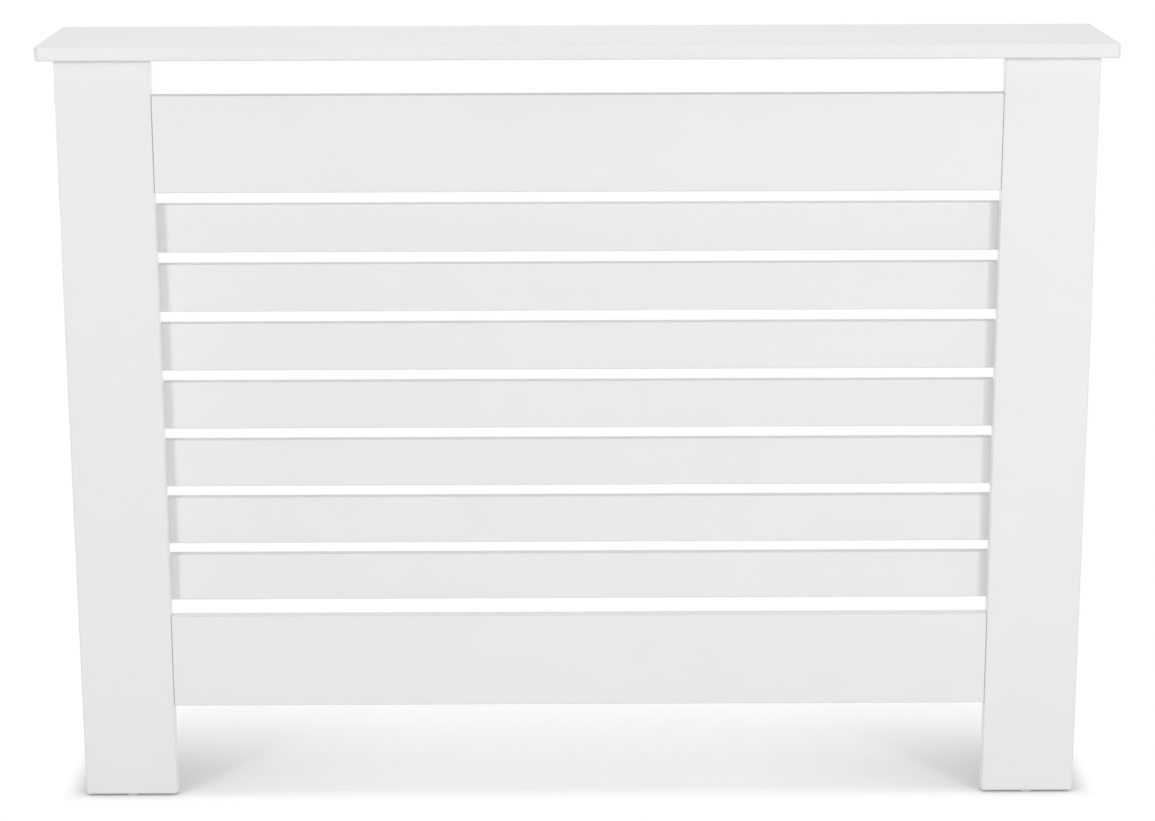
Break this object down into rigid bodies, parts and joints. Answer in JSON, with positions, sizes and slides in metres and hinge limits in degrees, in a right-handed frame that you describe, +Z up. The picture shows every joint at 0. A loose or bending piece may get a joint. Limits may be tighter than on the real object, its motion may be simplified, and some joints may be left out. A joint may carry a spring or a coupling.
{
  "type": "radiator cover cabinet",
  "caption": "Free-standing white radiator cover with a flat shelf top, wide front posts, plain rails and a grille of horizontal slats.",
  "frame": {"origin": "on the floor, in the middle of the overall width and depth", "axes": "+X along the wall, to the viewer's right; +Y towards the wall; +Z up"},
  "size_m": [1.115, 0.19, 0.82],
  "materials": {
    "white_lacquered_mdf": "satin lacquer",
    "beech": "turned, unfinished",
    "zinc_casting": "as cast",
    "zinc_plated_steel": "zinc plated",
    "white_nylon": "moulded"
  },
  "bodies": {
    "root": {"top_panel": "white_lacquered_mdf", "front_post_left": "white_lacquered_mdf", "front_post_right": "white_lacquered_mdf", "top_rail": "white_lacquered_mdf", "bottom_rail": "white_lacquered_mdf", "side_panel_left": "white_lacquered_mdf", "side_panel_right": "white_lacquered_mdf", "slat_1": "white_lacquered_mdf", "slat_2": "white_lacquered_mdf", "slat_3": "white_lacquered_mdf", "slat_4": "white_lacquered_mdf", "slat_5": "white_lacquered_mdf", "slat_6": "white_lacquered_mdf", "slat_7": "white_lacquered_mdf", "dowel_top_rail_left_lower": "beech", "dowel_top_rail_left_upper": "beech", "dowel_bottom_rail_left_lower": "beech", "dowel_bottom_rail_left_upper": "beech", "dowel_top_left_front": "beech", "dowel_top_left_rear": "beech", "dowel_post_left_lower": "beech", "dowel_post_left_upper": "beech", "cam_top_left_front": "zinc_casting", "cam_bolt_top_left_front": "zinc_plated_steel", "cam_top_left_rear": "zinc_casting", "cam_bolt_top_left_rear": "zinc_plated_steel", "cam_post_left_lower": "zinc_casting", "cam_bolt_post_left_lower": "zinc_plated_steel", "cam_post_left_upper": "zinc_casting", "cam_bolt_post_left_upper": "zinc_plated_steel", "glide_front_left": "white_nylon", "glide_rear_left": "white_nylon", "wall_bracket_left": "zinc_plated_steel", "bracket_screw_left_1": "zinc_plated_steel", "bracket_screw_left_2": "zinc_plated_steel", "dowel_top_rail_right_lower": "beech", "dowel_top_rail_right_upper": "beech", "dowel_bottom_rail_right_lower": "beech", "dowel_bottom_rail_right_upper": "beech", "dowel_top_right_front": "beech", "dowel_top_right_rear": "beech", "dowel_post_right_lower": "beech", "dowel_post_right_upper": "beech", "cam_top_right_front": "zinc_casting", "cam_bolt_top_right_front": "zinc_plated_steel", "cam_top_right_rear": "zinc_casting", "cam_bolt_top_right_rear": "zinc_plated_steel", "cam_post_right_lower": "zinc_casting", "cam_bolt_post_right_lower": "zinc_plated_steel", "cam_post_right_upper": "zinc_casting", "cam_bolt_post_right_upper": "zinc_plated_steel", "glide_front_right": "white_nylon", "glide_rear_right": "white_nylon", "wall_bracket_right": "zinc_plated_steel", "bracket_screw_right_1": "zinc_plated_steel", "bracket_screw_right_2": "zinc_plated_steel"}
  },
  "joints": []
}
